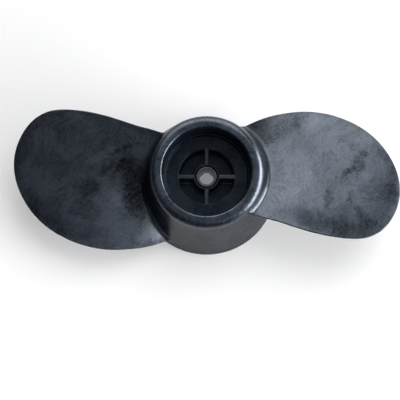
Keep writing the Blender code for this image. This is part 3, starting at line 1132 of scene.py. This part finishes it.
@dataclass(frozen=True)
class Blade:
    """One blade, skinned by two fine grids that meet round its edge."""

    name: str
    node: str
    turn: float
    form: BladeForm
    workshop: Workshop
    chord_steps: int = 72
    span_steps: int = 110
    fillet_steps: int = 10

    def offsets(self) -> np.ndarray:
        """Return the sections' offsets from the hub, close together at root and tip."""
        form = self.form
        steps = np.arange(self.fillet_steps) / self.fillet_steps
        root = form.fillet * (1 - np.cos(math.pi / 2 * steps))
        start = float(form.closeness(np.float64(form.root_radius + form.fillet)))
        closeness = start * (1 - np.arange(self.span_steps + 1) / self.span_steps)
        rest = form.tip_radius * (1 - closeness**2) - form.root_radius
        return np.concatenate([[form.seat], root[1:], rest])

    def rim_distance(self, plan: np.ndarray, outline: np.ndarray) -> np.ndarray:
        """Return the distance from each plan point to the outline.

        Args:
            plan: Points, one row each.
            outline: The outline's points in order.

        Returns:
            The distances.
        """
        start, along = outline[:-1], np.diff(outline, axis=0)
        length = np.maximum((along**2).sum(axis=1), 1e-12)
        nearest = np.empty(len(plan))
        for index, point in enumerate(plan):
            gap = point - start
            share = np.clip((gap * along).sum(axis=1) / length, 0.0, 1.0)
            nearest[index] = np.sqrt(((gap - along * share[:, None]) ** 2).sum(axis=1).min())
        return nearest

    def sheet(self, bm: bmesh.types.BMesh, side: Side) -> list[bmesh.types.BMVert]:
        """Add one face of the blade, a grid bent to the screw surface and lifted off it.

        Args:
            bm: The mesh that the grid goes into.
            side: Which face.

        Returns:
            The row of vertices at the root.
        """
        form = self.form
        offsets = self.offsets()
        rows = len(offsets) - 1
        made = bmesh.ops.create_grid(bm, x_segments=self.chord_steps, y_segments=rows, size=0.5)
        verts = sorted(made["verts"], key=lambda vert: (round(vert.co.y, 5), vert.co.x))
        flat = np.array([(vert.co.x + 0.5, vert.co.y + 0.5) for vert in verts])
        row = np.rint(flat[:, 1] * rows).astype(int)
        column = np.rint(flat[:, 0] * self.chord_steps).astype(int)
        offset = offsets[row]
        share = (1 - np.cos(math.pi * column / self.chord_steps)) / 2
        radius, angle = form.plan_point(offset, share)
        plan = np.stack([radius * np.cos(angle), radius * np.sin(angle)], axis=1)
        rim = self.rim_distance(plan, form.outline())
        rim[(row == rows) | (column == 0) | (column == self.chord_steps)] = 0.0
        rise = side.value * form.half_thickness(offset, share, rim)
        middle = np.column_stack([plan, form.height(radius, angle)])
        lifted = middle + form.normal(radius, angle) * rise[:, None]
        away = np.hypot(lifted[:, 0], lifted[:, 1])
        held = form.hub.outer_radius(lifted[:, 2]) + offset
        wanted = held + (away - held) * form.spread(offset)
        lifted[:, :2] *= (wanted / away)[:, None]
        for vert, place in zip(verts, lifted):
            vert.co = place * MM
        return verts[: self.chord_steps + 1]

    def build(self, material: bpy.types.Material) -> None:
        """Skin the blade, close it at the root and fit it.

        Args:
            material: Its finish.
        """
        bm = bmesh.new()
        rows = [self.sheet(bm, side) for side in Side]
        edges = [bm.edges.get(pair) for row in rows for pair in zip(row, row[1:])]
        bmesh.ops.bridge_loops(bm, edges=edges)
        bmesh.ops.remove_doubles(bm, verts=bm.verts, dist=MERGE_DISTANCE)
        turn_about_shaft(bm, self.turn)
        bmesh.ops.recalc_face_normals(bm, faces=bm.faces)
        made = self.workshop.piece(self.name, bm)
        self.workshop.fit(made, material, Slot.OUTSIDE, [self.node])


# Studio


class Serves(Enum):
    """What a lamp is hung for: the sheen of the plastic or the table's shading."""

    SHEEN = "sheen"
    TABLE = "table"


@dataclass(frozen=True)
class SoftBox:
    """A rectangular lamp that looks at the propeller."""

    name: str
    azimuth: float
    elevation: float
    distance: float
    width: float
    height: float
    radiance: float
    serves: Serves

    def build(self) -> None:
        """Hang the lamp; azimuth is counted from +X towards +Y, in degrees."""
        lamp = bpy.data.lights.new(self.name, "AREA")
        lamp.shape = "RECTANGLE"
        lamp.size = self.width
        lamp.size_y = self.height
        lamp.energy = self.radiance * math.pi * self.width * self.height
        hung = bpy.data.objects.new(self.name, lamp)
        azimuth, elevation = math.radians(self.azimuth), math.radians(self.elevation)
        away = Vector((
            math.cos(azimuth) * math.cos(elevation),
            math.sin(azimuth) * math.cos(elevation),
            math.sin(elevation),
        ))
        hung.location = away * self.distance
        hung.rotation_euler = away.to_track_quat("Z", "Y").to_euler()
        hung.visible_camera = False
        hung.visible_diffuse = self.serves is Serves.TABLE
        hung.visible_glossy = self.serves is Serves.SHEEN
        bpy.context.scene.collection.objects.link(hung)


@dataclass(frozen=True)
class Viewpoint:
    """The camera, given by where it aims and from which side it looks."""

    azimuth: float = -3.745
    elevation: float = 80.75
    distance: float = 725.2
    focal_pixels: float = 1236.5
    roll: float = -1.433
    aim: tuple[float, float, float] = (-4.928, -11.847, 22.8)

    def build(self) -> None:
        """Place the camera and make it the scene's own."""
        azimuth, elevation = math.radians(self.azimuth), math.radians(self.elevation)
        back = Vector((
            math.sin(azimuth) * math.cos(elevation),
            -math.cos(azimuth) * math.cos(elevation),
            math.sin(elevation),
        ))
        right = Vector((0.0, 0.0, 1.0)).cross(back).normalized()
        up = back.cross(right)
        turn = math.radians(self.roll)
        right, up = (
            right * math.cos(turn) + up * math.sin(turn),
            up * math.cos(turn) - right * math.sin(turn),
        )
        lens = bpy.data.cameras.new("camera")
        lens.sensor_width = SENSOR_WIDTH
        lens.lens = self.focal_pixels * SENSOR_WIDTH / IMAGE_SIDE
        lens.clip_start = 0.01
        lens.clip_end = 20.0
        eye = bpy.data.objects.new("camera", lens)
        place = (Vector(self.aim) + back * self.distance) * MM
        turned = Matrix((right, up, back)).transposed().to_4x4()
        eye.matrix_world = Matrix.Translation(place) @ turned
        bpy.context.scene.collection.objects.link(eye)
        bpy.context.scene.camera = eye


@dataclass(frozen=True)
class Studio:
    """Pale table, soft lamps, dim surroundings and the camera."""

    floor_side: float = 4.0
    surroundings: float = 0.09
    ceiling: float = 0.52
    ceiling_lean: tuple[float, float, float] = (0.10, 0.10, 0.99)
    ceiling_edge: tuple[float, float] = (0.55, 0.95)
    ceiling_colour: Colour = (0.96, 0.97, 1.0, 1.0)
    backdrop: float = 0.80

    def floor(self) -> None:
        """Lay the table top under the propeller."""
        bm = bmesh.new()
        bmesh.ops.create_grid(bm, x_segments=1, y_segments=1, size=self.floor_side / 2)
        table = into_scene("table_top", bm)
        table.data.materials.append(TableTop().material("table_top"))

    def world(self) -> None:
        """Give reflections a pale ceiling that fades to dim surroundings."""
        world = bpy.data.worlds.new("studio")
        world.use_nodes = True
        sheet = Sheet(world.node_tree)
        glow = world.node_tree.nodes["Background"]
        way = sheet.node("ShaderNodeTexCoord").outputs["Generated"]
        lean = sheet.vector("DOT_PRODUCT", way, self.ceiling_lean)
        lit = sheet.remap(lean, *self.ceiling_edge, self.surroundings, self.ceiling)
        seen = sheet.node("ShaderNodeLightPath").outputs["Is Camera Ray"]
        pale = sheet.maths("MULTIPLY", seen, self.backdrop)
        sheet.join(sheet.maths("MAXIMUM", lit, pale), glow.inputs["Strength"])
        glow.inputs["Color"].default_value = self.ceiling_colour
        bpy.context.scene.world = world

    def build(self) -> None:
        """Set up the whole studio."""
        self.floor()
        self.world()
        lamps = (
            SoftBox("top_softbox", 86.0, 35.0, 1.6, 1.8, 1.4, 4.6, Serves.SHEEN),
            SoftBox("window", -8.0, 18.0, 1.5, 1.8, 0.8, 19.0, Serves.SHEEN),
            SoftBox("side_fill", -50.0, 52.0, 1.6, 1.2, 0.9, 1.0, Serves.SHEEN),
            SoftBox("table_side", -28.0, 14.0, 1.5, 1.4, 0.7, 12.0, Serves.TABLE),
            SoftBox("table_key", 55.0, 58.0, 1.5, 1.2, 1.2, 3.2, Serves.TABLE),
        )
        for lamp in lamps:
            lamp.build()
        Viewpoint().build()
        bpy.context.scene.view_settings.view_transform = "Standard"


def main() -> None:
    """Build the studio and the propeller's pieces in order."""
    logging.basicConfig(level=logging.INFO, format="%(name)s %(message)s")
    Studio().build()
    workshop = Workshop()
    sizes = HubSizes.from_frame()
    outside = FilledNylon(
        dark=(0.0014, 0.0030, 0.0068, 1.0), light=(0.0080, 0.0122, 0.0205, 1.0),
        turned=True, skirted=True, index=1.40, gloss_level=1.0, cloud_share=0.30,
    ).material("hub_nylon")
    inside = FilledNylon().material("spoke_nylon")
    sleeve = FilledNylon(
        dark=(0.03, 0.03, 0.034, 1.0), light=(0.055, 0.057, 0.065, 1.0),
    ).material("sleeve")
    hub = Hub(sizes, workshop)
    hub.build(outside, inside)
    Sleeve(hub, workshop).build(sleeve)
    form = BladeForm(sizes)
    right = FilledNylon(marks=RIGHT_FLOW_AND_LIGHT_MARKS).material("right_blade_nylon")
    left = FilledNylon(marks=LEFT_FLOW_AND_LIGHT_MARKS, stroke_turn=40.0).material("left_blade_nylon")
    Blade("right_blade_skin", "blade_right", 0.0, form, workshop).build(right)
    Blade("left_blade_skin", "blade_left", math.pi, form, workshop).build(left)


if __name__ == "__main__":
    main()
